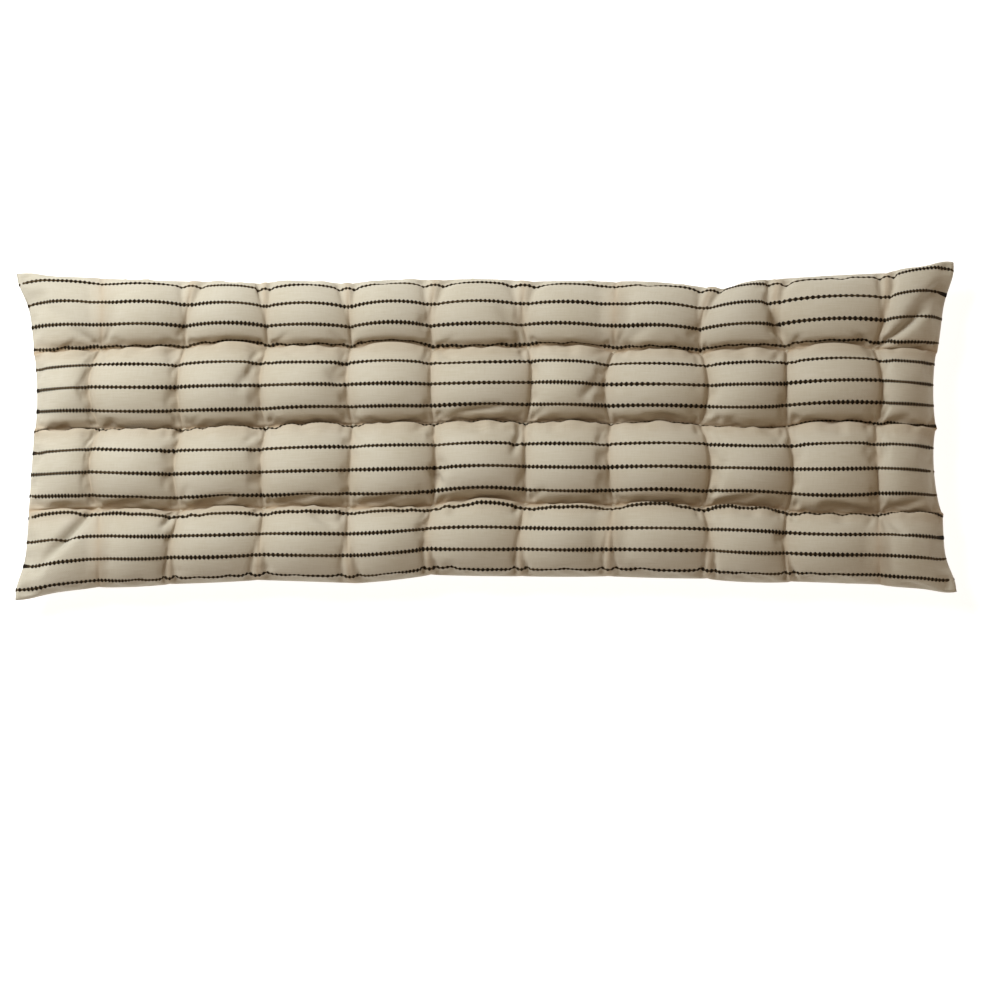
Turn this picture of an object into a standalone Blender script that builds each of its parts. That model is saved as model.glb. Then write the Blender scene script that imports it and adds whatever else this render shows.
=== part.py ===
"""Long throw pillow, lying on its back.

Two striped cotton panels are sewn together at a knife edge, filled, and drawn in by three rows of
ten ties, so that the cover swells into eleven by four soft cells. The cushion is one closed solid.
X runs along its length, Y across it towards the far long seam, and Z up from the surface it rests on.
"""

import bpy
import numpy as np

MM = 0.001

# Sizes in metres.
CENTRE_HEIGHT = 0.037  # the level of the seam, halfway through the filling
TIE_HALF_GAP = 0.011  # half the thickness that a tie leaves between the two panels
FACE_CROWN = 0.034  # how far a face cell rises above its ties
BACK_CROWN = 0.031  # the same on the back, before the surface presses it flat
CROWN_WANDER = 0.08  # how much one cell is fuller than the next, as a part of its crown
ROW_ARCH = 0.005  # how far a lengthwise crease arches away between two ties
SCALLOP = 0.003  # how far a seam swells out between two creases

# Shares of the crown that are left in the middle of a crease, between two ties.
LENGTHWISE_CREASE = 0.42
CROSSWISE_CREASE = 0.62
CREASE_SHARPNESS = 0.55  # exponent on the sine of a cell: 1 is a round valley, 0 is a slit
SEAM_ROUNDING = 0.8  # part of a cell over which the panels close to the seam
SEAM_SHARPNESS = 0.6  # exponent of that closing: 0.5 is a round edge, 1 is a blade

# The net of creases, in millimetres: one row for each line across the cushion, from the left seam
# through the ten lines of ties to the right seam. Each has its places at the far seam, on the far,
# middle and near rows of ties, and at the near seam.
NET_COLUMNS = (
    "x_far", "x_far_tie", "x_mid_tie", "x_near_tie", "x_near",
    "y_far", "y_far_tie", "y_mid_tie", "y_near_tie", "y_near",
)
NET = (
    (-600, -577, -575, -581, -597, 205, 101, 1, -103, -218),
    (-490, -490, -489, -491, -490, 196, 103, 1, -102, -202),
    (-369, -382, -383, -387, -401, 194, 105, 1, -105, -198),
    (-283, -277, -278, -281, -290, 191, 107, 3, -102, -195),
    (-177, -170, -168, -173, -169, 187, 105, 6, -101, -196),
    (-62, -66, -65, -66, -69, 187, 104, 7, -98, -189),
    (52, 56, 52, 52, 47, 189, 107, 8, -96, -187),
    (168, 165, 161, 164, 157, 190, 100, 7, -98, -190),
    (290, 276, 274, 276, 283, 183, 98, 6, -100, -191),
    (373, 385, 385, 385, 389, 191, 102, 4, -105, -195),
    (515, 496, 498, 502, 503, 199, 104, 6, -108, -199),
    (598, 578, 577, 584, 600, 218, 103, 4, -107, -207),
)

# Two long folds that run from a corner tie out to an ear, on the face. Millimetres.
FOLD_COLUMNS = ("x_tie", "y_tie", "x_ear", "y_ear", "depth", "half_width")
FOLDS = (
    (-507, -114, -568, -172, 7, 15),
    (512, 125, 578, 186, 7, 15),
)

STEPS = 7  # quads across each cell, each way
CROWDING = 0.35  # how much the grid lines crowd towards the creases
CELLS_LONG = len(NET) - 1
CELLS_WIDE = len(NET_COLUMNS) // 2 - 1


def grid_lines(cells):
    """Grid lines, in cells. Within a cell, t - a sin(2 pi t) / (2 pi) crowds them to its ends."""
    t = np.arange(STEPS) / STEPS
    within = t - CROWDING * np.sin(2 * np.pi * t) / (2 * np.pi)
    return np.append((np.arange(cells)[:, None] + within).ravel(), cells)


def net_places(along, across):
    """The plan place of each grid point: bilinear between the four corners of its cell in NET.

    NET names its places from the far seam to the near one, and across runs the other way.
    """
    corners = np.array(NET, float).reshape(len(NET), 2, -1)[:, :, ::-1] * MM
    i = np.minimum(along.astype(int), CELLS_LONG - 1)
    j = np.minimum(across.astype(int), CELLS_WIDE - 1)
    fi, fj = (along - i)[..., None], (across - j)[..., None]
    near_side = corners[i, :, j] * (1 - fi) + corners[i + 1, :, j] * fi
    far_side = corners[i, :, j + 1] * (1 - fi) + corners[i + 1, :, j + 1] * fi
    return near_side * (1 - fj) + far_side * fj


def seam_distance(position, cells):
    """How far a point is from the nearer end seam, in cells."""
    return np.minimum(position, cells - position)


def rise_from_crease(position, cells):
    """0 on a crease and 1 in the middle of a cell: |sin(pi t)| to a power. Outer half cells stay at 1."""
    wave = np.abs(np.sin(np.pi * position)) ** CREASE_SHARPNESS
    return np.where(seam_distance(position, cells) < 0.5, 1.0, wave)


def seam_closing(position, cells):
    """0 at a seam, rising to 1 over SEAM_ROUNDING of a cell: (1 - (1 - d)^2) to a power."""
    depth = np.minimum(seam_distance(position, cells) / SEAM_ROUNDING, 1)
    return (1 - (1 - depth) ** 2) ** SEAM_SHARPNESS


def puff(along, across):
    """Swelling of the cover: 1 in mid-cell, 0 at a tie, and the crease shares in between."""
    f = rise_from_crease(along, CELLS_LONG)
    g = rise_from_crease(across, CELLS_WIDE)
    return f * g + CROSSWISE_CREASE * (1 - f) * g + LENGTHWISE_CREASE * f * (1 - g)


def plan(along, across):
    """Plan places with the arched creases and the scalloped seams added."""
    places = net_places(along, across)
    swell_long = np.abs(np.sin(np.pi * along))
    swell_wide = np.abs(np.sin(np.pi * across))
    from_crease = across - np.round(across)
    inner = np.minimum(seam_distance(across, CELLS_WIDE), 1)
    places[..., 1] += ROW_ARCH * swell_long * inner * np.exp(-((from_crease / 0.3) ** 2))
    edge_y = np.maximum(1 - seam_distance(across, CELLS_WIDE), 0) ** 2 * np.sign(across - CELLS_WIDE / 2)
    edge_x = np.maximum(1 - seam_distance(along, CELLS_LONG), 0) ** 2 * np.sign(along - CELLS_LONG / 2)
    places[..., 1] += SCALLOP * swell_long * edge_y
    places[..., 0] += SCALLOP * swell_wide * edge_x
    return places


def fold_depth(places):
    """Depth of the ear folds: a Gaussian trough about each line, fading to nothing at the ear."""
    depth = np.zeros(places.shape[:-1])
    for x_tie, y_tie, x_ear, y_ear, deep, half_width in np.array(FOLDS) * MM:
        start, run = np.array((x_tie, y_tie)), np.array((x_ear - x_tie, y_ear - y_tie))
        share = np.clip((places - start) @ run / (run @ run), 0, 1)
        away = np.linalg.norm(places - start - share[..., None] * run, axis=-1)
        depth += deep * (1 - share**2) * np.exp(-((away / half_width) ** 2))
    return depth


def cushion_points():
    """Face and back as two grids of points. They share their outer ring, which is the seam."""
    along, across = np.meshgrid(grid_lines(CELLS_LONG), grid_lines(CELLS_WIDE), indexing="ij")
    places = plan(along, across)
    swelling = puff(along, across)
    closing = seam_closing(along, CELLS_LONG) * seam_closing(across, CELLS_WIDE)
    fuller = 1 + CROWN_WANDER * np.sin(1.9 * np.floor(along) + 2.6 * np.floor(across))
    face = TIE_HALF_GAP + FACE_CROWN * fuller * swelling
    back = TIE_HALF_GAP + BACK_CROWN * swelling
    face_z = CENTRE_HEIGHT + closing * (face - fold_depth(places))
    back_z = np.maximum(CENTRE_HEIGHT - closing * back, 0)
    return np.dstack([places, face_z]), np.dstack([places, back_z])


def quads(index, facing_up):
    """The quads of a grid of vertex numbers."""
    ring = (index[:-1, :-1], index[1:, :-1], index[1:, 1:], index[:-1, 1:])
    faces = np.stack(ring, axis=-1).reshape(-1, 4)
    return faces if facing_up else faces[:, ::-1]


def cushion_mesh():
    """One closed mesh: the face grid, and the back grid sewn to the face's outer ring."""
    face, back = cushion_points()
    rows, columns = face.shape[:2]
    face_index = np.arange(rows * columns).reshape(rows, columns)
    inside = np.zeros((rows, columns), bool)
    inside[1:-1, 1:-1] = True
    back_index = face_index.copy()
    back_index[inside] = rows * columns + np.arange(inside.sum())
    points = np.concatenate([face.reshape(-1, 3), back[inside]])
    faces = np.concatenate([quads(face_index, True), quads(back_index, False)])
    mesh = bpy.data.meshes.new("cushion")
    mesh.from_pydata(points.tolist(), [], faces.tolist())
    mesh.shade_smooth()
    return mesh


def cotton():
    """Cream cotton cloth. The dark stripes are woven colour, which the solid doesn't carry."""
    material = bpy.data.materials.new("cream cotton")
    material.use_nodes = True
    shader = material.node_tree.nodes["Principled BSDF"]
    shader.inputs["Base Color"].default_value = (0.60, 0.54, 0.43, 1)
    shader.inputs["Roughness"].default_value = 0.9
    shader.inputs["Metallic"].default_value = 0
    return material


for old in list(bpy.data.objects):
    bpy.data.objects.remove(old)

cushion = bpy.data.objects.new("cushion", cushion_mesh())
cushion.data.materials.append(cotton())
bpy.context.scene.collection.objects.link(cushion)
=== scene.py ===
# %% The fixed frame
import math

import bpy
import numpy as np
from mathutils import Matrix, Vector


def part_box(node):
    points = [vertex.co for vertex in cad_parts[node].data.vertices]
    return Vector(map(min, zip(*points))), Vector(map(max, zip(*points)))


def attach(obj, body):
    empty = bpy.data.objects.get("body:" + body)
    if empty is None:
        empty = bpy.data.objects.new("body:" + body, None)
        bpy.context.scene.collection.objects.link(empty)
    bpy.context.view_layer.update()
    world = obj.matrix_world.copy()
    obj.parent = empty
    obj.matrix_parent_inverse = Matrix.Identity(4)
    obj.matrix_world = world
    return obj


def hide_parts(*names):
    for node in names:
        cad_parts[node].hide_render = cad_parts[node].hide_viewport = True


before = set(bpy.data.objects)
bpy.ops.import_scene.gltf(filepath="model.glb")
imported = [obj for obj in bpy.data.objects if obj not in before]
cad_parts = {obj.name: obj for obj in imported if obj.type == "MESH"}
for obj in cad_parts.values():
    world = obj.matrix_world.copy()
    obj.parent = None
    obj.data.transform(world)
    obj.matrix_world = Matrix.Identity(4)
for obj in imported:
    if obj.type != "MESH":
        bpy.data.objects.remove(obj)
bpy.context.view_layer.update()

cad_low, cad_high = (np.array(corner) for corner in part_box("cushion"))
cushion_length = cad_high[0] - cad_low[0]
print("cushion in the frame:", np.round(cad_high - cad_low, 3), "m")

# %% [markdown]
# # A long tufted pillow
#
# The real thing is two rectangles of striped cotton, sewn together round all four sides, stuffed with
# loose fibre, and then pulled together by thirty short ties in three rows of ten. Nothing else holds
# its shape: every crease, crown and pinched ear comes from flat cloth that has more length than the
# ties leave room for.
#
# Cloth that starts flat could be drawn in at the ties by the solver alone, but then it creases where it
# likes. So this script goes the other way. It draws the net of creases, spans a puffed surface over each
# cell, and lets Blender's cloth solver relax the whole cover. Pleats, folds and the overhang of the
# cells follow as displacements, and yarn, stitches and weave come last.

# %% [markdown]
# ## The cut of the cloth
#
# The stripes are woven in at one even pitch, which makes them a ruler for the cloth. There are fifteen,
# the outer ones half a pitch from the seams, and the three rows of ties split the panel in four.
# Lengthwise the cells take more cloth than they span, and that spare cloth becomes the crowns.

# %% Panel sizes
MM = 0.001
STRIPES = 15
STRIPE_PITCH = 31.84 * MM
CELLS_LONG, CELLS_WIDE = 11, 4
CELL_CLOTH_WIDE = STRIPES * STRIPE_PITCH / CELLS_WIDE
CELL_CLOTH_LONG = 116 * MM
END_CELL_CLOTH = 107 * MM

inner_lines = END_CELL_CLOTH + CELL_CLOTH_LONG * np.arange(CELLS_LONG - 1)
lines_along = np.concatenate([[0], inner_lines, [inner_lines[-1] + END_CELL_CLOTH]])
lines_across = CELL_CLOTH_WIDE * np.arange(CELLS_WIDE + 1)
panel_length, panel_width = lines_along[-1], lines_across[-1]
print(f"each panel is cut {panel_length:.3f} by {panel_width:.3f} m, with {STRIPES} stripes")

# %% [markdown]
# ## Where the ties and the seams end up
#
# Tying by hand is never even, so the net of creases is a short table in millimetres, one row for each
# line of ties across the cushion with the two end seams added. The first five numbers are x at the far
# seam, the three rows of ties and the near seam, and the last five are y at the same places.

# %% The drawn-in net
NET_MM = (
    (-600, -577, -575, -581, -597, 205, 101, 1, -103, -218),
    (-490, -490, -489, -491, -490, 199, 103, 1, -102, -201),
    (-369, -382, -383, -387, -401, 195, 105, 1, -105, -197),
    (-283, -277, -278, -281, -290, 192, 107, 3, -102, -192),
    (-177, -170, -168, -173, -169, 190, 105, 6, -101, -196),
    (-62, -66, -65, -66, -69, 195, 104, 7, -98, -185),
    (52, 56, 52, 52, 47, 194, 107, 8, -96, -187),
    (168, 165, 161, 164, 157, 194, 100, 7, -98, -187),
    (297, 276, 274, 276, 283, 183, 98, 6, -100, -190),
    (373, 385, 385, 385, 389, 198, 102, 4, -105, -194),
    (515, 496, 498, 502, 503, 206, 104, 6, -108, -198),
    (600, 578, 577, 584, 600, 220, 103, 4, -107, -207),
)
# net[i, j] is the plan place of crossing i along and j across, counted from the near left corner
net = np.moveaxis(np.array(NET_MM, float).reshape(CELLS_LONG + 1, 2, -1), 1, 2)[:, ::-1] * MM
SEAM_HEIGHT = 37 * MM
TIE_HALF_GAP = 11 * MM
print("ties:", (CELLS_LONG - 1) * (CELLS_WIDE - 1), "span", np.ptp(net[..., 0]), "m")

# %% [markdown]
# ## How the creases run between the ties
#
# The filling is packed cell by cell, so a crease is held down along its whole length, deepest at the
# ties. Two more small tables say how far each crease swings aside on its way: lengthwise creases mostly
# arch to the far side and crosswise ones bow to either side. Their outer rows are the scallops of the
# seams. A crease also rises between its ties, since the filling lifts it there.

# %% Swing and rise of the creases
ARCH_MM = (  # to the far side, for the near seam, the three rows of ties and the far seam
    (0, -2, -1, 0, -2, -1, -1, -1, -3, 0, -2),
    (0, 0, 3, 2, -2, 7, 0, 4, 4, -3, 1),
    (0, -1, 1, 3, 2, 4, 3, 3, -3, 5, 1),
    (0, 2, 6, 2, 7, 0, 5, 4, 5, 7, 1),
    (1, 0, 1, 5, 5, 4, 2, 5, 2, 1, 3),
)
BOW_MM = (  # to the right, for the left end, the ten columns of ties and the right end
    (2, 0, 4, 4),
    (0, -13, -15, 0),
    (-5, -10, -9, -4),
    (0, -5, -9, 0),
    (-3, -1, -7, 0),
    (-6, 2, -4, -5),
    (-5, -1, 5, -6),
    (-4, -5, -10, -1),
    (6, 11, 9, -9),
    (-5, 6, -1, -9),
    (0, -1, 9, 6),
    (-4, -8, -5, 0),
)
arch = np.array(ARCH_MM, float).T * MM  # arch[i, j]: span i of the lengthwise line j
bow = np.array(BOW_MM, float) * MM  # bow[i, j]: span j of the crosswise line i
LENGTHWISE_RISE = (5 * MM, 5 * MM)  # of the face and of the back, above or below the ties
CROSSWISE_RISE = (15.5 * MM, 12 * MM)
CREASE_BLUNTNESS = 0.8
SCALLOP_BLUNTNESS = 0.5
CREASE_SAMPLES = 65


def crease(start, end, swing, cloth_share, bluntness):
    """A line between two crossings plus swing times a power of a sine arch.

    cloth_share runs from 0 to 1 along the arch's own length, as the cloth does.
    """
    g = np.linspace(0, 1, CREASE_SAMPLES)[:, None]
    line = start + (end - start) * g + swing * np.sin(np.pi * g).clip(0) ** bluntness
    length = np.append(0, np.cumsum(np.linalg.norm(np.diff(line, axis=0), axis=1)))
    return np.stack([np.interp(cloth_share * length[-1], length, axis) for axis in line.T], axis=1)


longest_swing = max(np.abs(arch).max(), np.abs(bow).max()) / MM
print("creases swing aside by up to", longest_swing, "mm")


# %% [markdown]
# ## Two panels on one grid
#
# Both panels are grids of the same two parameters, counted in cells along and across. The grid lines
# crowd towards the creases, where the cloth bends most. The two grids share their outer ring of
# points, and that shared ring is the seam: nothing can pull it open, and it closes the mesh.

# %% Grid of a panel
QUADS_PER_CELL = 16
CROWDING = 0.45


def grid_positions(cells):
    """Grid lines in cells: inside each cell t - a sin(2 pi t) / (2 pi), so they crowd to its ends."""
    t = np.arange(QUADS_PER_CELL) / QUADS_PER_CELL
    within = t - CROWDING * np.sin(2 * np.pi * t) / (2 * np.pi)
    return np.append((np.arange(cells)[:, None] + within).ravel(), cells)


def quads(index):
    """Quads of a grid of vertex numbers, counted anticlockwise seen from above."""
    ring = (index[:-1, :-1], index[1:, :-1], index[1:, 1:], index[:-1, 1:])
    return np.stack(ring, axis=-1).reshape(-1, 4)


def sewn_index(shape):
    """Vertex numbers of the face grid and of the back grid, which borrows the face's outer ring."""
    face = np.arange(shape[0] * shape[1]).reshape(shape)
    inside = np.zeros(shape, bool)
    inside[1:-1, 1:-1] = True
    back = face.copy()
    back[inside] = face.size + np.arange(inside.sum())
    return face, back, inside


def sewn_mesh(name, face, back):
    """One closed mesh from two grids of points whose outer rings are the same."""
    face_index, back_index, inside = sewn_index(face.shape[:2])
    points = np.concatenate([face.reshape(-1, 3), back[inside]])
    faces = np.concatenate([quads(face_index), quads(back_index)[:, ::-1]])
    mesh = bpy.data.meshes.new(name)
    mesh.from_pydata(points.tolist(), [], faces.tolist())
    return mesh


def split_points(points, shape):
    """The opposite of sewing: the face grid and the back grid of one list of points."""
    face_index, back_index, _ = sewn_index(shape)
    return points[face_index], points[back_index]


along, across = np.meshgrid(
    grid_positions(CELLS_LONG), grid_positions(CELLS_WIDE), indexing="ij"
)
cloth_along = np.interp(along, np.arange(CELLS_LONG + 1), lines_along)
cloth_across = np.interp(across, np.arange(CELLS_WIDE + 1), lines_across)
print("grid of one panel:", along.shape)

# %% [markdown]
# ## Crease by crease
#
# The seam is flat at one height, and each tie draws the two panels together about that height. Between
# two crossings runs one crease. In the last cell before a corner the seam also swings in a shallow S,
# which leaves the corner as a pointed ear.

# %% Crease lines of a panel
END_EAR, SIDE_EAR = 2.4 * MM, 1.3 * MM


def crossings(side):
    """Places of all crossings: on the seams at seam height, and the ties above or below it."""
    tied = np.zeros(net.shape[:2])
    tied[1:-1, 1:-1] = side * TIE_HALF_GAP
    return np.dstack([net, SEAM_HEIGHT + tied])


def of_panel(pair, side):
    """The first of two values for the face, side 1, and the second for the back, side -1."""
    return pair[0] if side > 0 else pair[1]


def span(start, end, swing_aside, rise, seam):
    """A crease or a piece of seam between two crossings. A seam doesn't rise and is blunter."""
    swing = np.append(swing_aside, 0 if seam else rise)
    return crease(start, end, swing, grid_positions(1), SCALLOP_BLUNTNESS if seam else CREASE_BLUNTNESS)


def ear(place, size):
    """The S of a seam beside a corner: size times sin(2 pi s^2), where s is 1 at the corner."""
    share = grid_positions(1)
    from_inside = share if place else share[::-1]
    return size * np.sin(2 * np.pi * from_inside**2)


def crease_lines(side):
    """All creases of a panel: lengthwise[:, j] at each grid line along, crosswise[i] at each one across."""
    knots, step = crossings(side), QUADS_PER_CELL
    lengthwise = np.zeros((along.shape[0], CELLS_WIDE + 1, 3))
    crosswise = np.zeros((CELLS_LONG + 1, along.shape[1], 3))
    for i, j in np.ndindex(CELLS_LONG, CELLS_WIDE + 1):
        seam, rise = j in (0, CELLS_WIDE), side * of_panel(LENGTHWISE_RISE, side)
        line = span(knots[i, j], knots[i + 1, j], (0, arch[i, j]), rise, seam)
        if seam and i in (0, CELLS_LONG - 1):
            line[:, 1] += ear(i, SIDE_EAR if j == 0 else -SIDE_EAR)
        lengthwise[i * step : (i + 1) * step + 1, j] = line
    for i, j in np.ndindex(CELLS_LONG + 1, CELLS_WIDE):
        seam, rise = i in (0, CELLS_LONG), side * of_panel(CROSSWISE_RISE, side)
        line = span(knots[i, j], knots[i, j + 1], (bow[i, j], 0), rise, seam)
        if seam and j in (0, CELLS_WIDE - 1):
            line[:, 0] += ear(j, END_EAR if i == 0 else -END_EAR)
        crosswise[i, j * step : (j + 1) * step + 1] = line
    return knots, lengthwise, crosswise


print("crosswise creases rise", of_panel(CROSSWISE_RISE, 1), "m above the ties of the face")

# %% [markdown]
# ## The puffed form
#
# Cloth that starts flat and is blown up by the solver finds its own creases, and they rarely fall where
# the maker packed the filling. So the form is given and the solver only has to relax it. Each
# cell is a patch that is blended from its four edges, which are creases: the surface between is their
# sum less the part that is counted twice. A crown is added on top. It slumps a little towards the near
# side, and in the far row it leans over the far seam.

# %% The puffed form
CROWN = (16 * MM, 10 * MM)  # of the face and of the back
BLUNT_ALONG, BLUNT_ACROSS = 0.65, 0.42
CROWN_WANDER = 0.10
ARCH_FADE = 2.5
SLUMP, FAR_LEAN = 4 * MM, 5 * MM
FAR_LEAN_START = 0.35  # in the far row: the share of the cell, from near to far, where the lean turns


def fading(share):
    """Weights for x, y and z of a crease's swing: its arch in y keeps close to the crease."""
    return np.concatenate([share, share**ARCH_FADE, share], axis=-1)


def puffed_panel(side):
    """Blended patches over all cells, plus a crown in each that wanders in height from cell to cell."""
    knots, lengthwise, crosswise = crease_lines(side)
    i = np.minimum(along.astype(int), CELLS_LONG - 1)
    j = np.minimum(across.astype(int), CELLS_WIDE - 1)
    f, g = (along - i)[..., None], (across - j)[..., None]
    row = np.arange(along.shape[0])[:, None]
    column = np.arange(along.shape[1])[None]
    between_columns = crosswise[i, column] * (1 - f) + crosswise[i + 1, column] * f
    near = knots[i, j] * (1 - f) + knots[i + 1, j] * f
    far = knots[i, j + 1] * (1 - f) + knots[i + 1, j + 1] * f
    arch_near, arch_far = lengthwise[row, j] - near, lengthwise[row, j + 1] - far
    patch = between_columns + arch_near * fading(1 - g) + arch_far * fading(g)
    dome_along, dome_across = np.sin(np.pi * f[..., 0]), np.sin(np.pi * g[..., 0])
    dome = dome_along.clip(0) ** BLUNT_ALONG * dome_across.clip(0) ** BLUNT_ACROSS
    wander = 1 + CROWN_WANDER * np.sin(2.1 * i + 3.7 * j + side)
    patch[..., 2] += side * of_panel(CROWN, side) * dome * wander
    lean = np.where(j == CELLS_WIDE - 1, 2 * FAR_LEAN * (g[..., 0] - FAR_LEAN_START), -SLUMP)
    patch[..., 1] += lean * dome
    return patch


puffed_face, puffed_back = puffed_panel(1), puffed_panel(-1)
print("puffed:", np.round(puffed_face[..., 2].max(), 3), "m high")

# %% [markdown]
# ## Relaxing the cloth
#
# Blender's cloth solver now turns the smooth form into cloth. The creases and the seam are pinned,
# pressure stands for the filling, and the cloth is let out by a small share, so that it has to pucker
# where the ties hold it. The floor stops the back, so it comes out flat there.

# %% Cloth settings
FRAMES = 22
PRESSURE = 5.0
LET_OUT = 0.02
CONTACT = 1 * MM
FLOOR_FRICTION = 5


def crease_pins(index):
    """Vertex numbers on every crease and seam of one panel."""
    step = QUADS_PER_CELL
    return np.concatenate([index[::step].ravel(), index[:, ::step].ravel()])


def set_cloth(obj):
    """Cloth settings for medium cotton: firm against stretch, easy to bend, blown up by pressure."""
    cloth = obj.modifiers.new("Cloth", "CLOTH")
    fabric = cloth.settings
    fabric.quality = 6
    fabric.mass = 0.003
    fabric.air_damping = 1.0
    fabric.tension_stiffness = fabric.compression_stiffness = 20
    fabric.shear_stiffness = 6
    fabric.bending_stiffness = 0.1
    fabric.tension_damping = fabric.compression_damping = 10
    fabric.shear_damping = 5
    fabric.bending_damping = 0.5
    fabric.shrink_min = -LET_OUT
    fabric.vertex_group_mass = "pinned"
    fabric.pin_stiffness = 1.0
    fabric.use_pressure = True
    fabric.uniform_pressure_force = PRESSURE
    fabric.effector_weights.gravity = 0.0
    contact = cloth.collision_settings
    contact.use_collision = True
    contact.distance_min = CONTACT
    contact.use_self_collision = True
    contact.self_distance_min = CONTACT
    contact.self_friction = 1
    cloth.point_cache.frame_end = FRAMES + 5


print("cloth runs for", FRAMES, "frames, let out by", LET_OUT)

# %% The simulation


def square(name, half_side, z):
    """An object with one level square, centred on the z axis."""
    x = half_side
    mesh = bpy.data.meshes.new(name)
    mesh.from_pydata([(-x, -x, z), (x, -x, z), (x, x, z), (-x, x, z)], [], [(0, 1, 2, 3)])
    obj = bpy.data.objects.new(name, mesh)
    bpy.context.scene.collection.objects.link(obj)
    return obj


def simulation_floor():
    """A plain square at z = 0 that the cloth can't pass."""
    floor = square("simulation_floor", 1, 0)
    floor.modifiers.new("Collision", "COLLISION")
    floor.collision.thickness_outer = CONTACT
    floor.collision.cloth_friction = FLOOR_FRICTION
    return floor


def evaluated_points(obj):
    """Points of the mesh as Blender evaluates it now."""
    graph = bpy.context.evaluated_depsgraph_get()
    evaluated = obj.evaluated_get(graph)
    mesh = evaluated.to_mesh()
    points = np.empty(len(mesh.vertices) * 3, np.float32)
    mesh.vertices.foreach_get("co", points)
    evaluated.to_mesh_clear()
    return points.reshape(-1, 3).astype(float)


def relaxed_cloth():
    """Runs the solver on the sewn panels and returns the face grid and the back grid."""
    face_index, back_index, _ = sewn_index(along.shape)
    mesh = sewn_mesh("panels", puffed_face, puffed_back)
    panels = bpy.data.objects.new("panels", mesh)
    bpy.context.scene.collection.objects.link(panels)
    floor = simulation_floor()
    pins = np.unique(np.concatenate([crease_pins(face_index), crease_pins(back_index)]))
    panels.vertex_groups.new(name="pinned").add(pins.tolist(), 1.0, "REPLACE")
    set_cloth(panels)
    for step in range(1, FRAMES + 1):
        bpy.context.scene.frame_set(step)
    points = evaluated_points(panels)
    for block in (panels, floor):
        bpy.data.objects.remove(block)
    bpy.data.meshes.remove(mesh)
    bpy.context.scene.frame_set(1)
    return split_points(points, along.shape)


face, back = relaxed_cloth()
print("relaxed:", np.round(face.max((0, 1)) - back.min((0, 1)), 3), "m")

# %% [markdown]
# ## A finer surface
#
# Each panel is refined once by the four-point rule: a new point between two old ones is
# (-a + 9b + 9c - d) / 16. Unlike a Subdivision Surface it passes through every point that the
# solver found, so creases stay sharp. It also keeps the grid, which the yarn needs later.

# %% Refine


def doubled(values, axis):
    """Values with a new one between each two along an axis, by the four-point rule."""
    v = np.moveaxis(values, axis, 0)
    padded = np.concatenate([2 * v[:1] - v[1:2], v, 2 * v[-1:] - v[-2:-1]])
    between = (-padded[:-3] + 9 * padded[1:-2] + 9 * padded[2:-1] - padded[3:]) / 16
    out = np.empty((2 * len(v) - 1, *v.shape[1:]))
    out[::2], out[1::2] = v, between
    return np.moveaxis(out, 0, axis)


def refined(values):
    """A grid of values with twice the lines each way."""
    return doubled(doubled(values, 0), 1)


face, back = refined(face), refined(back)
face[..., 2], back[..., 2] = np.maximum(face[..., 2], 0), np.maximum(back[..., 2], 0)
fine_along, fine_across = refined(along), refined(across)
fine_cloth_along, fine_cloth_across = refined(cloth_along), refined(cloth_across)
print("refined grid:", face.shape[:2])

# %% [markdown]
# ## Pleats at the seams
#
# Cloth that is gathered along a seam opens each crosswise crease into a narrow pleat there, with a
# groove on either side of a low ridge. It is finer than the solver's grid, so it is shaped now. First
# the crease under a pleat is bridged with nearly flat cloth, and later the grooves are pressed in. A few
# creases are filled out by the stuffing and hardly show, and they are bridged in the same way.

# %% Bridged creases
SEAM_MARGIN = 6 * MM
PLEATS = (  # crosswise crease, seam (0 near, 4 far), half width in mm
    (2, 0, 7), (3, 0, 12), (4, 0, 13), (5, 0, 8), (6, 0, 7), (7, 0, 8), (8, 0, 8), (9, 0, 5),
    (2, 4, 16), (3, 4, 9), (4, 4, 12), (5, 4, 15), (6, 4, 17), (8, 4, 16), (9, 4, 12), (10, 4, 9),
)
PLEAT_REACH = 0.72
PLEAT_BRIDGING, MOST_BRIDGING = 1.4, 0.9
FILLED = ((1, 0), (1, 3), (7, 3), (10, 0), (7, 0))  # crosswise crease and the cell across
FILLED_REACH = 0.17


def pleat_share(seam):
    """1 at a seam and 0 from PLEAT_REACH cells inwards."""
    return (1 - np.abs(fine_across - seam) / PLEAT_REACH).clip(0)


def from_edge(distance):
    """0 at a seam, 1 from SEAM_MARGIN inwards. It keeps the shared ring of points where it is."""
    return (distance / SEAM_MARGIN).clip(0, 1)


def bridge(grid, i, reach, share_across):
    """Spans a crosswise crease with nearly flat cloth, reach cells to either side of it."""
    lines = fine_along[:, 0]
    first, last = (int(np.argmin(np.abs(lines - i - off))) for off in (-reach, reach))
    share = ((lines[first : last + 1] - lines[first]) / (lines[last] - lines[first]))[:, None, None]
    flat = grid[first] * (1 - share) + grid[last] * share
    weight = share_across[None, :, None] * np.sin(np.pi * share).clip(0) ** 0.3
    out = grid.copy()
    out[first : last + 1] += weight * (flat - grid[first : last + 1])
    return out


from_side = np.minimum(fine_cloth_across, panel_width - fine_cloth_across)
for i, j in FILLED:
    inside_cell = np.sin(np.pi * (fine_across[0] - j).clip(0, 1)).clip(0) ** 0.6
    face = bridge(face, i, FILLED_REACH, inside_cell)
for i, seam, half_width in PLEATS:
    under_pleat = (pleat_share(seam)[0] * PLEAT_BRIDGING).clip(0, MOST_BRIDGING)
    face = bridge(face, i, half_width * MM / CELL_CLOTH_LONG, under_pleat * from_edge(from_side[0]))
print("bridged:", len(FILLED), "filled creases and", len(PLEATS), "pleats")

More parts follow.
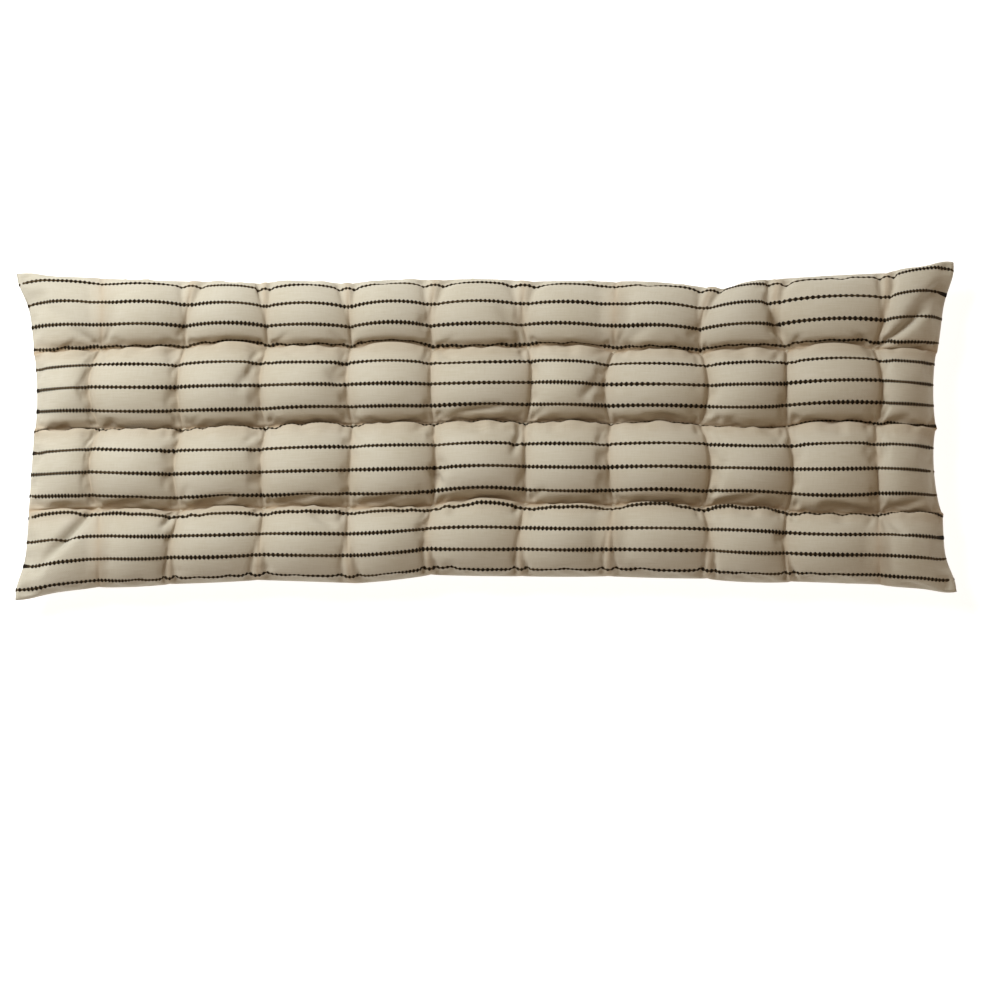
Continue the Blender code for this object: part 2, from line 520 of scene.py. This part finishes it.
# %% [markdown]
# ## Cells that hang over their creases
#
# The lengthwise creases aren't symmetric. The near cell is full and rolls over the crease like a small
# overhang, and the far cell's edge is tucked in under it. A bump on each side of the crease does that:
# one moves the cloth outwards over the line, and the other moves it down.

# %% Overhang
TUCK_REACH = 7 * MM
OVERHANG = np.array((0, 5.5, 3.0)) * MM
TUCK = np.array((0, -1.0, -3.5)) * MM


def overlap(grid):
    """Pushes the near cell over each lengthwise crease and tucks the far cell's edge under it.

    The bump is a bell TUCK_REACH away from the crease, less its own height on the crease.
    """
    away_from_ties = np.abs(np.sin(np.pi * fine_along)) ** 0.6
    out = grid.copy()
    for j in range(1, CELLS_WIDE):
        beyond = fine_cloth_across - lines_across[j]
        bump = np.exp(-(((np.abs(beyond) - TUCK_REACH) / TUCK_REACH) ** 2)) - math.exp(-1)
        bump = (bump / (1 - math.exp(-1))).clip(0) * away_from_ties
        out += (bump * (beyond < 0))[..., None] * OVERHANG + (bump * (beyond > 0))[..., None] * TUCK
    return out


face = overlap(face)
print("the face is now", np.round(face[..., 2].max(), 3), "m high")

# %% [markdown]
# ## Folds and puckers
#
# Slack near the corners and above some creases lies in short straight folds, and small puckers run out
# from every tie. All of them are grooves: a bell across and a parabola along. They are pressed in along
# the surface's normals together with the grooves of the pleats, and their places are counted in cells.

# %% Grooves
PLEAT_GROOVE, PLEAT_RIDGE = 3.6 * MM, 2 * MM
PUCKER_START = 0.05  # in cells from the tie
PUCKER_DEPTH_MM, PUCKER_WIDTH_MM = 2.2, 4
FOLDS = (  # from and to, in cells; then depth and half width in mm
    (0.97, 0.99, 0.20, 0.38, 13, 7), (10.02, 3.04, 10.80, 3.50, 12, 7), (10.30, 3.30, 10.95, 3.74, 5, 8),
    (0.55, 3.30, 0.98, 3.04, 6, 6), (0.10, 3.60, 0.75, 3.25, 2, 9), (10.05, 1.03, 10.75, 1.18, 8, 5),
    (10.05, 0.95, 10.45, 0.65, 4, 6), (1.06, 1.03, 1.65, 1.14, 8, 4), (2.08, 1.03, 2.70, 1.15, 8, 4),
    (3.05, 1.05, 3.65, 1.15, 7, 4), (4.05, 1.03, 4.65, 1.15, 9, 4), (4.93, 1.48, 5.10, 1.20, 7, 5),
    (5.97, 1.95, 5.84, 1.55, 6, 5), (5.15, 2.10, 5.75, 2.22, 6, 5), (8.08, 1.04, 8.62, 1.14, 6, 4),
    (7.35, 2.12, 7.85, 2.06, 5, 5), (9.30, 1.12, 9.90, 1.05, 6, 4), (3.88, 0.72, 3.55, 0.92, 6, 6),
    (1.80, 0.72, 1.95, 0.95, 5, 5), (8.95, 3.55, 9.00, 3.15, 6, 6), (10.10, 2.04, 10.60, 2.15, 4, 6),
    (0.20, 1.95, 0.60, 2.06, 4, 5), (2.70, 2.40, 2.96, 2.80, 4, 7), (6.65, 2.30, 6.93, 2.60, 5, 7),
    (3.75, 2.70, 3.95, 2.45, 4, 7), (5.70, 3.55, 5.98, 3.20, 4, 8), (7.10, 3.10, 7.45, 3.35, 3, 8),
)


def pleat_lift(i, seam, half_width):
    """A ridge with a groove on each side, widest at the seam and gone PLEAT_REACH cells inwards."""
    share = pleat_share(seam)
    half = (half_width * share + 2) * MM
    off = np.abs(fine_cloth_along - lines_along[i])
    groove = np.exp(-(((off - half) / (0.4 * half)) ** 2))
    ridge = np.exp(-((off / (0.7 * half)) ** 2))
    return (PLEAT_RIDGE * ridge - PLEAT_GROOVE * groove) * share**0.8


def cloth_place(s, t):
    """A place that is counted in cells, in metres on the flat cloth."""
    return np.array([np.interp(s, range(CELLS_LONG + 1), lines_along), t * CELL_CLOTH_WIDE])


def fold_lift(s0, t0, s1, t1, depth, half_width):
    """A straight groove between two places in cells: full depth in the middle, none at its ends."""
    start, end = cloth_place(s0, t0), cloth_place(s1, t1)
    length = np.linalg.norm(end - start)
    ahead = (end - start) / length
    x, y = fine_cloth_along - start[0], fine_cloth_across - start[1]
    share = 2 * (x * ahead[0] + y * ahead[1]) / length - 1
    aside = x * ahead[1] - y * ahead[0]
    return -depth * MM * (1 - share**2).clip(0) * np.exp(-((aside / (half_width * MM)) ** 2))


def pucker_lift(i, j):
    """Four short grooves that leave a tie between its creases, each at its own angle and length."""
    lift = 0
    for k in range(4):
        turn = math.radians(45 + 90 * k + 20 * math.sin(5.3 * i + 2.9 * j + 1.7 * k))
        ahead = np.array((math.cos(turn), math.sin(turn)))
        reach = 0.26 + 0.10 * math.sin(3.1 * i + 7.7 * j + 4.1 * k)
        ends = *((i, j) + PUCKER_START * ahead), *((i, j) + reach * ahead)
        lift = lift + fold_lift(*ends, PUCKER_DEPTH_MM, PUCKER_WIDTH_MM)
    return lift


print(len(FOLDS), "folds and", 4 * (CELLS_LONG - 1) * (CELLS_WIDE - 1), "puckers")

# %% Press the grooves in


def unit(vectors):
    """Vectors scaled to length 1."""
    return vectors / np.maximum(np.linalg.norm(vectors, axis=-1, keepdims=True), 1e-12)


def grid_normals(grid, side):
    """Unit normals of a grid: the cross product of its two slopes, turned outwards."""
    return side * unit(np.cross(np.gradient(grid, axis=0), np.gradient(grid, axis=1)))


lift = sum(pleat_lift(*pleat) for pleat in PLEATS) + sum(fold_lift(*fold) for fold in FOLDS)
lift = lift + sum(pucker_lift(i, j) for i in range(1, CELLS_LONG) for j in range(1, CELLS_WIDE))
from_end = np.minimum(fine_cloth_along, panel_length - fine_cloth_along)
lift *= from_edge(np.minimum(from_end, from_side))
face = face + grid_normals(face, 1) * lift[..., None]
print("folds pressed in by up to", round(float(-lift.min()) / MM, 1), "mm")

# %% [markdown]
# ## The cushion's mesh
#
# The cloth's own flat coordinates become the UV map, face and back side by side on one unit square,
# so that weave and slubs follow the cloth into every crease. A point attribute says how near each
# point is to a crease, so that the material can paint shade there: the cotton is drawn warmer and
# darker in the creases, where shade falls.

# %% Maps on the cover
UV_SHEET = 1.4
BACK_PANEL_OFFSET = 0.5
# how far the painted shade in the creases reaches, and its share at a crosswise crease
PAINTED_SHADE_REACH = 9 * MM
CROSSWISE_PAINTED_SHADE = 0.5


def add_cloth_uv(mesh, shape):
    """UV map of flat cloth coordinates over UV_SHEET metres. The back panel is moved up beside the face."""
    _, _, inside = sewn_index(shape)
    flat = np.dstack([fine_cloth_along, fine_cloth_across]) / UV_SHEET
    per_point = np.concatenate([flat.reshape(-1, 2), flat[inside]])
    corners = np.empty(len(mesh.loops), np.int32)
    mesh.loops.foreach_get("vertex_index", corners)
    uv = per_point[corners]
    uv[len(corners) // 2 :, 1] += BACK_PANEL_OFFSET / UV_SHEET
    mesh.uv_layers.new(name="cloth").data.foreach_set("uv", uv.astype(np.float32).ravel())


# the mask of the painted shade: near a crease the cotton is drawn darker and browner
def painted_crease_shade_mask():
    """exp(-distance / PAINTED_SHADE_REACH) from the nearest crease, less for a crosswise crease."""
    to_crosswise = np.abs(fine_cloth_along[..., None] - lines_along[1:-1]).min(-1)
    to_lengthwise = np.abs(fine_cloth_across[..., None] - lines_across[1:-1]).min(-1)
    crosswise = CROSSWISE_PAINTED_SHADE * np.exp(-to_crosswise / PAINTED_SHADE_REACH)
    return np.maximum(np.exp(-to_lengthwise / PAINTED_SHADE_REACH), crosswise)


def add_point_values(mesh, name, values):
    """One number for each point, as an attribute that a material can read."""
    values = values.astype(np.float32)
    mesh.attributes.new(name, "FLOAT", "POINT").data.foreach_set("value", values)


def add_painted_crease_shade(mesh, shape):
    """The nearness to a crease on both panels, in the order of the sewn points: the mask of the painted
    crease shade.
    """
    _, _, inside = sewn_index(shape)
    near = painted_crease_shade_mask()
    # the crease attribute carries the mask of the painted shade
    add_point_values(mesh, "crease", np.concatenate([near.ravel(), near[inside]]))


print("the tint of a crease fades over", PAINTED_SHADE_REACH / MM, "mm")

# %% The cover
cover_mesh = sewn_mesh("tufted_cover", face, back)
add_painted_crease_shade(cover_mesh, face.shape[:2])
cover_mesh.shade_smooth()
add_cloth_uv(cover_mesh, face.shape[:2])
cover = bpy.data.objects.new("tufted_cover", cover_mesh)
bpy.context.scene.collection.objects.link(cover)
print("cover:", 2 * len(cover_mesh.polygons), "triangles")

# %% [markdown]
# ## Beaded yarn
#
# Each stripe is one thick dark yarn that is woven in so that it shows as a row of small knots with
# thin links between. As a texture it would look printed, so it is a real tube: a ring of points is
# carried along the stripe on the cloth's surface, and its size swells and shrinks once each bead.
#
# The beads are spun unevenly, so their pitch drifts. Rings at even distances would fall now on beads
# and now on links, and whole stretches would look smooth. So the rings are placed by the count of
# beads, the same number for each. How far a point is on a bead goes into an attribute for the colour.

# %% Beads along a stripe
BEAD_PITCH = 5.6 * MM
RINGS_PER_BEAD = 4
COUNT_SAMPLES = 5001


def bead_count(u, stripe):
    """Beads passed so far: the length over the pitch, plus a slow unevenness of the spinning."""
    return u / BEAD_PITCH + 0.15 * np.sin(37 * u + 2.4 * stripe) + 0.1 * np.sin(83 * u + 5.1 * stripe)


def bead_size(u, stripe):
    """0 on a link and 1 on a bead: half of 1 + cos of the bead count, times a slow unevenness."""
    wave = 0.5 + 0.5 * np.cos(2 * np.pi * bead_count(u, stripe))
    return wave * (0.82 + 0.14 * np.sin(23 * u + 1.7 * stripe) + 0.12 * np.sin(61 * u + 4.3 * stripe))


def ring_places(stripe):
    """Places of the rings along one stripe: each bead gets the same number, also where beads crowd."""
    dense = np.linspace(0, panel_length, COUNT_SAMPLES)
    first = math.ceil(bead_count(0, stripe))
    marks = first + np.arange(int(panel_length / BEAD_PITCH - 1) * RINGS_PER_BEAD + 1) / RINGS_PER_BEAD
    inner = np.interp(marks, bead_count(dense, stripe), dense)
    return np.concatenate([[0], inner[1:-1], [panel_length]])


print("rings on one stripe:", len(ring_places(0)))

# %% Yarn
YARN_SIDES = 6
STRIPE_DRIFT_MM = (-2, -4, -5, -4, -3, -2.5, -2.5, -1, 0, 1.5, 4)  # to the far side, in each cell along
BEAD_HALF_WIDTH, LINK_HALF_WIDTH = 3.3 * MM, 1.1 * MM
BEAD_HALF_HEIGHT, LINK_HALF_HEIGHT = 1.1 * MM, 0.5 * MM


def surface_at(grid, u, v):
    """Bilinear reading of a grid of vectors at flat cloth places u, v."""
    lines_u, lines_v = fine_cloth_along[:, 0], fine_cloth_across[0]
    i = np.clip(np.searchsorted(lines_u, u) - 1, 0, len(lines_u) - 2)
    j = np.clip(np.searchsorted(lines_v, v) - 1, 0, len(lines_v) - 2)
    f = ((u - lines_u[i]) / (lines_u[i + 1] - lines_u[i]))[..., None]
    g = ((v - lines_v[j]) / (lines_v[j + 1] - lines_v[j]))[..., None]
    near = grid[i, j] * (1 - f) + grid[i + 1, j] * f
    far = grid[i, j + 1] * (1 - f) + grid[i + 1, j + 1] * f
    return near * (1 - g) + far * g


def tube_faces(index):
    """Quads between the rings of tubes, and a cap on each end. The last axis of index goes round."""
    a, b = index[..., :-1, :], index[..., 1:, :]
    sides = np.stack([a, b, np.roll(b, -1, axis=-1), np.roll(a, -1, axis=-1)], axis=-1).reshape(-1, 4)
    caps = [index[..., 0, :], index[..., -1, ::-1]]
    return sides.tolist() + np.concatenate([cap.reshape(-1, index.shape[-1]) for cap in caps]).tolist()


def yarn_mesh(name, grid, side):
    """All stripes of one panel: an ellipse about the path, wider than high, sized by bead_size."""
    normals = grid_normals(grid, side)
    stripe = np.arange(STRIPES)
    u = np.stack([ring_places(k) for k in stripe], axis=1)
    middles = (lines_along[1:] + lines_along[:-1]) / 2
    drift = np.interp(u, middles, STRIPE_DRIFT_MM) * MM
    v = (stripe + 0.5) * STRIPE_PITCH + drift
    path = surface_at(grid, u, v)
    up = unit(surface_at(normals, u, v))
    ahead = unit(np.gradient(path, axis=0))
    sideways = unit(np.cross(up, ahead))
    size = bead_size(u, stripe)[..., None]
    width = LINK_HALF_WIDTH + (BEAD_HALF_WIDTH - LINK_HALF_WIDTH) * size
    height = LINK_HALF_HEIGHT + (BEAD_HALF_HEIGHT - LINK_HALF_HEIGHT) * size
    turn = 2 * np.pi * np.arange(YARN_SIDES) / YARN_SIDES
    ring = (
        path[..., None, :]
        + np.cos(turn)[:, None] * (width * sideways)[..., None, :]
        + np.sin(turn)[:, None] * (height * up)[..., None, :]
    )
    ring[..., 2] = np.maximum(ring[..., 2], 0)
    index = np.moveaxis(np.arange(ring[..., 0].size).reshape(ring.shape[:-1]), 1, 0)
    mesh = bpy.data.meshes.new(name)
    mesh.from_pydata(ring.reshape(-1, 3).tolist(), [], tube_faces(index))
    add_point_values(mesh, "bead", np.repeat(size.ravel(), YARN_SIDES))
    mesh.shade_smooth()
    return mesh


yarns = []
for name, grid, side in (("face_yarn", face, 1), ("back_yarn", back, -1)):
    obj = bpy.data.objects.new(name, yarn_mesh(name, grid, side))
    bpy.context.scene.collection.objects.link(obj)
    obj.data.validate()
    yarns.append(obj)
    print(name + ":", 2 * len(obj.data.polygons), "triangles")

# %% [markdown]
# ## The ties
#
# Each tie is a doubled thread that goes down through both panels, so only a short bar of it shows on
# either side. A bar is half a turn of a thin tube, with its ends sunk in the cloth.

# %% Tie threads
BAR_HALF_LENGTH, BAR_RISE, THREAD_RADIUS = 3.2 * MM, 1.6 * MM, 0.6 * MM
BAR_SPACING = 1.5 * MM
BAR_RINGS, THREAD_SIDES = 9, 6


def tie_bars(grid, side):
    """Points of all bars of one panel as rings: tie, bar, ring along the bar, corner round the thread."""
    step = 2 * QUADS_PER_CELL
    ties = grid[step:-step:step, step:-step:step].reshape(-1, 1, 1, 1, 3)
    number = np.arange(len(ties)).reshape(-1, 1, 1, 1)
    heading = 0.5 * np.sin(2.7 * number) + 0.4
    bar = np.array((-0.5, 0.5)).reshape(1, 2, 1, 1) * BAR_SPACING
    swing = np.linspace(0, np.pi, BAR_RINGS).reshape(1, 1, -1, 1)
    corner = (2 * np.pi * np.arange(THREAD_SIDES) / THREAD_SIDES).reshape(1, 1, 1, -1)
    ahead = -np.cos(swing) * BAR_HALF_LENGTH
    aside = bar + THREAD_RADIUS * np.cos(corner)
    up = np.sin(swing) * BAR_RISE - THREAD_RADIUS + THREAD_RADIUS * np.sin(corner)
    x = ahead * np.cos(heading) - aside * np.sin(heading)
    y = ahead * np.sin(heading) + aside * np.cos(heading)
    return ties + np.stack(np.broadcast_arrays(x, y, side * up), axis=-1)


def tie_mesh():
    """The bars of the face and of the back as one mesh."""
    points = np.stack([tie_bars(face, 1), tie_bars(back, -1)])
    points[..., 2] = np.maximum(points[..., 2], 0)
    mesh = bpy.data.meshes.new("tie_threads")
    index = np.arange(points[..., 0].size).reshape(points.shape[:-1])
    mesh.from_pydata(points.reshape(-1, 3).tolist(), [], tube_faces(index))
    mesh.shade_smooth()
    return mesh


ties = bpy.data.objects.new("tie_threads", tie_mesh())
bpy.context.scene.collection.objects.link(ties)
print("ties:", len(ties.data.polygons), "faces")

# %% [markdown]
# ## Shader maths as Python
#
# A material is a chain of small sums. Written out node by node it is hard to read, so one small class
# wraps a socket and gives it Python's operators. One more method adds any other kind of node.

# %% Wires


class Wire:
    """A value in a material's node tree. Arithmetic on it adds Math nodes."""

    def __init__(self, tree, socket):
        self.tree, self.socket = tree, socket

    def node(self, kind, settings, inputs, output=0):
        """Adds a node: settings first, then each socket's number, colour or link."""
        made = self.tree.nodes.new(kind)
        for name, value in settings.items():
            setattr(made, name, value)
        for name, value in inputs.items():
            if isinstance(value, Wire):
                self.tree.links.new(value.socket, made.inputs[name])
            else:
                made.inputs[name].default_value = value
        return Wire(self.tree, made.outputs[output])

    def math(self, operation, *values):
        """A Math node on this value and the others."""
        inputs = dict(enumerate((self, *values)))
        return self.node("ShaderNodeMath", {"operation": operation}, inputs)

    def __add__(self, other):
        return self.math("ADD", other)

    def __sub__(self, other):
        return self.math("SUBTRACT", other)

    def __mul__(self, other):
        return self.math("MULTIPLY", other)

    def __rsub__(self, other):
        return self.node("ShaderNodeMath", {"operation": "SUBTRACT"}, {0: other, 1: self})

    __radd__, __rmul__ = __add__, __mul__

    def mix(self, low, high):
        """A colour between two, by this value as the factor. Indices 6 and 7 are the colour sockets."""
        return self.node("ShaderNodeMix", {"data_type": "RGBA"}, {0: self, 6: low, 7: high}, output=2)


def new_material(name):
    """A material with its shader and a first wire."""
    material = bpy.data.materials.new(name)
    material.use_nodes = True
    tree = material.node_tree
    return material, tree.nodes["Principled BSDF"], Wire(tree, None)


def finish_shader(shader, values):
    """Sets sockets of a shader by name, each to a number or colour or to a wire."""
    for name, value in values.items():
        if isinstance(value, Wire):
            value.tree.links.new(value.socket, shader.inputs[name])
        else:
            shader.inputs[name].default_value = value


# %% [markdown]
# ## Cotton
#
# The cloth is a plain weave of slightly uneven undyed yarn. Close up it is a checker of small bumps,
# further away a faint grain with thicker threads here and there. Both are worked out from the flat
# cloth coordinates. The colour wanders a little, warmer and paler, as undyed cotton does, and painted
# shade tints it darker and brown in the creases, standing in for light that reaches them only by way of
# more cotton.

# %% Cover material
COTTON = (0.52, 0.50, 0.43, 1)
COTTON_WARM = (0.46, 0.43, 0.345, 1)
# painted shade: the brown that is drawn into the creases, and its strength
COTTON_PAINTED_SHADE = (0.43, 0.315, 0.20, 1)
PAINTED_CREASE_SHADE = 0.75
THREAD_PITCH = 1.1 * MM
SLUBS_ALONG, SLUBS_ACROSS = (60, 900, 1), (1100, 90, 1)
BUMP_DISTANCE = 0.3 * MM


def slubs(uv, stretch):
    """Noise that is stretched into threads of uneven thickness."""
    stretched = uv.node("ShaderNodeMapping", {}, {"Vector": uv, "Scale": stretch})
    return uv.node("ShaderNodeTexNoise", {}, {"Vector": stretched, "Scale": 1.0, "Detail": 2.0})


def cotton_material():
    """Undyed plain weave: thread bumps, slubs, a slow drift of colour and painted shade in the creases."""
    material, shader, start = new_material("undyed cotton")
    uv = start.node("ShaderNodeUVMap", {"uv_map": "cloth"}, {})
    u = uv.node("ShaderNodeSeparateXYZ", {}, {0: uv}, output=0) * UV_SHEET
    v = uv.node("ShaderNodeSeparateXYZ", {}, {0: uv}, output=1) * UV_SHEET

    turn = math.pi / THREAD_PITCH
    weave = (u * turn).math("SINE") * (v * turn).math("SINE")
    grain = slubs(uv, SLUBS_ALONG) * 0.6 + slubs(uv, SLUBS_ACROSS) * 0.4
    drift = uv.node("ShaderNodeTexNoise", {}, {"Vector": uv, "Scale": 22.0, "Detail": 3.0})
    tone = (grain - 0.5) * 2.4 + (drift - 0.5) * 1.4 + weave * 0.06 + 0.35

    # painted shade: nearness to a crease mixes the cotton towards brown
    near = uv.node("ShaderNodeAttribute", {"attribute_name": "crease"}, {}, output=2)
    colour = (near * PAINTED_CREASE_SHADE).mix(tone.mix(COTTON, COTTON_WARM), COTTON_PAINTED_SHADE)
    height = weave * 0.5 + grain * 1.6
    bump = uv.node("ShaderNodeBump", {}, {"Height": height, "Strength": 0.8, "Distance": BUMP_DISTANCE})
    finish_shader(shader, {
        "Base Color": colour, "Normal": bump, "Roughness": 0.92,
        "Specular IOR Level": 0.15, "Sheen Weight": 0.06, "Sheen Roughness": 0.6,
    })
    return material


cover_mesh.materials.append(cotton_material())
print("cotton:", len(cover_mesh.materials[0].node_tree.nodes), "nodes")

# %% [markdown]
# ## Dark yarn and cream thread
#
# The stripes' yarn is nearly black on its beads and browner on the thin links, where the cream cloth
# shows through it. The "bead" attribute mixes the two colours, and a fine noise stands for its fibres.
# The thread of the ties is plain, since only a few millimetres of it show.

# %% Yarn and thread materials
YARN_DARK = (0.010, 0.007, 0.004, 1)
YARN_LINK = (0.11, 0.08, 0.045, 1)
THREAD_CREAM = (0.62, 0.57, 0.46, 1)


def yarn_material():
    """Black-brown yarn: the bead attribute and fibre noise mix from the links' colour to the beads'."""
    material, shader, start = new_material("dark yarn")
    bead = start.node("ShaderNodeAttribute", {"attribute_name": "bead"}, {}, output=2)
    place = start.node("ShaderNodeTexCoord", {}, {}, output=3)
    fibres = place.node("ShaderNodeTexNoise", {}, {"Vector": place, "Scale": 1500.0, "Detail": 2.0})
    colour = (bead * 1.5 + (fibres - 0.5) * 0.6).mix(YARN_LINK, YARN_DARK)
    bump = place.node("ShaderNodeBump", {}, {"Height": fibres, "Strength": 0.6, "Distance": BUMP_DISTANCE})
    finish_shader(shader, {
        "Base Color": colour, "Normal": bump, "Roughness": 0.95, "Specular IOR Level": 0.1,
    })
    return material


def thread_material():
    """Plain cream sewing thread."""
    material, shader, _ = new_material("cream thread")
    finish_shader(shader, {"Base Color": THREAD_CREAM, "Roughness": 0.7})
    return material


dark_yarn = yarn_material()
for obj in yarns:
    obj.data.materials.append(dark_yarn)
ties.data.materials.append(thread_material())
print("materials:", [material.name for material in (dark_yarn, ties.data.materials[0])])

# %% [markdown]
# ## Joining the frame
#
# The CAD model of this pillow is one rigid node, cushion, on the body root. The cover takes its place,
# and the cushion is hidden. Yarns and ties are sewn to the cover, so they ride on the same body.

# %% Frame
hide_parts("cushion")
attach(cover, "root")
for obj in (*yarns, ties):
    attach(obj, "root")

# %% [markdown]
# ## Floor, light and camera
#
# The photograph looks down at 80 degrees with a long lens. Its light is soft and comes from the far
# left, low enough to shade the near side of every cell. Warm light from all round fills the shade, and
# the floor glows a little, so that it comes out white as in a cut-out photograph.

# %% Floor
FLOOR_HALF_SIDE, FLOOR_DROP = 9, 0.3 * MM

floor = square("floor", FLOOR_HALF_SIDE, -FLOOR_DROP)
floor_material, floor_shader, _ = new_material("pale floor")
finish_shader(floor_shader, {
    "Base Color": (0.6, 0.6, 0.6, 1), "Roughness": 0.8,
    "Emission Color": (1, 1, 1, 1), "Emission Strength": 0.82,
})
floor.data.materials.append(floor_material)
print("floor:", 2 * FLOOR_HALF_SIDE, "m wide")

# %% Light
KEY_PLACE, KEY_TARGET = (-1.3, 1.05, 1.7), (-0.2, 0, 0)


def look_at(obj, place, target):
    """Puts a camera or lamp at a place, aimed at a target."""
    obj.location = place
    obj.rotation_euler = (Vector(target) - Vector(place)).to_track_quat("-Z", "Y").to_euler()


world = bpy.data.worlds.new("studio")
bpy.context.scene.world = world
world.use_nodes = True
world.node_tree.nodes["Background"].inputs["Color"].default_value = (1, 0.74, 0.51, 1)
world.node_tree.nodes["Background"].inputs["Strength"].default_value = 0.36

key = bpy.data.lights.new("key", "AREA")
key.shape, key.size, key.size_y, key.energy = "RECTANGLE", 1.3, 1.0, 58
key.color = (0.97, 1, 0.99)
key_object = bpy.data.objects.new("key", key)
bpy.context.scene.collection.objects.link(key_object)
look_at(key_object, KEY_PLACE, KEY_TARGET)
print("key light:", key.energy, "W at", KEY_PLACE)

# %% Camera
PHOTO_SIDE = 984
PHOTO_CUSHION_PIXELS = 942
PHOTO_CENTRE = (485, 431)
PIXEL = cushion_length / PHOTO_CUSHION_PIXELS
CAMERA_ELEVATION = math.radians(80)
LENS, SENSOR, CLIP_END = 300, 36, 50
TARGET_HEIGHT = 0.04

camera = bpy.data.cameras.new("camera")
camera.lens, camera.sensor_width, camera.clip_end = LENS, SENSOR, CLIP_END
camera_object = bpy.data.objects.new("camera", camera)
bpy.context.scene.collection.objects.link(camera_object)
off_x = (PHOTO_SIDE / 2 - PHOTO_CENTRE[0]) * PIXEL
off_y = -(PHOTO_SIDE / 2 - PHOTO_CENTRE[1]) * PIXEL / math.sin(CAMERA_ELEVATION)
target = np.array((off_x, off_y, TARGET_HEIGHT))
back_off = PHOTO_SIDE * PIXEL * LENS / SENSOR
towards = np.array((0, -math.cos(CAMERA_ELEVATION), math.sin(CAMERA_ELEVATION)))
look_at(camera_object, target + back_off * towards, target)
bpy.context.scene.camera = camera_object
bpy.context.scene.view_settings.view_transform = "Standard"
print("camera:", round(back_off, 2), "m away")
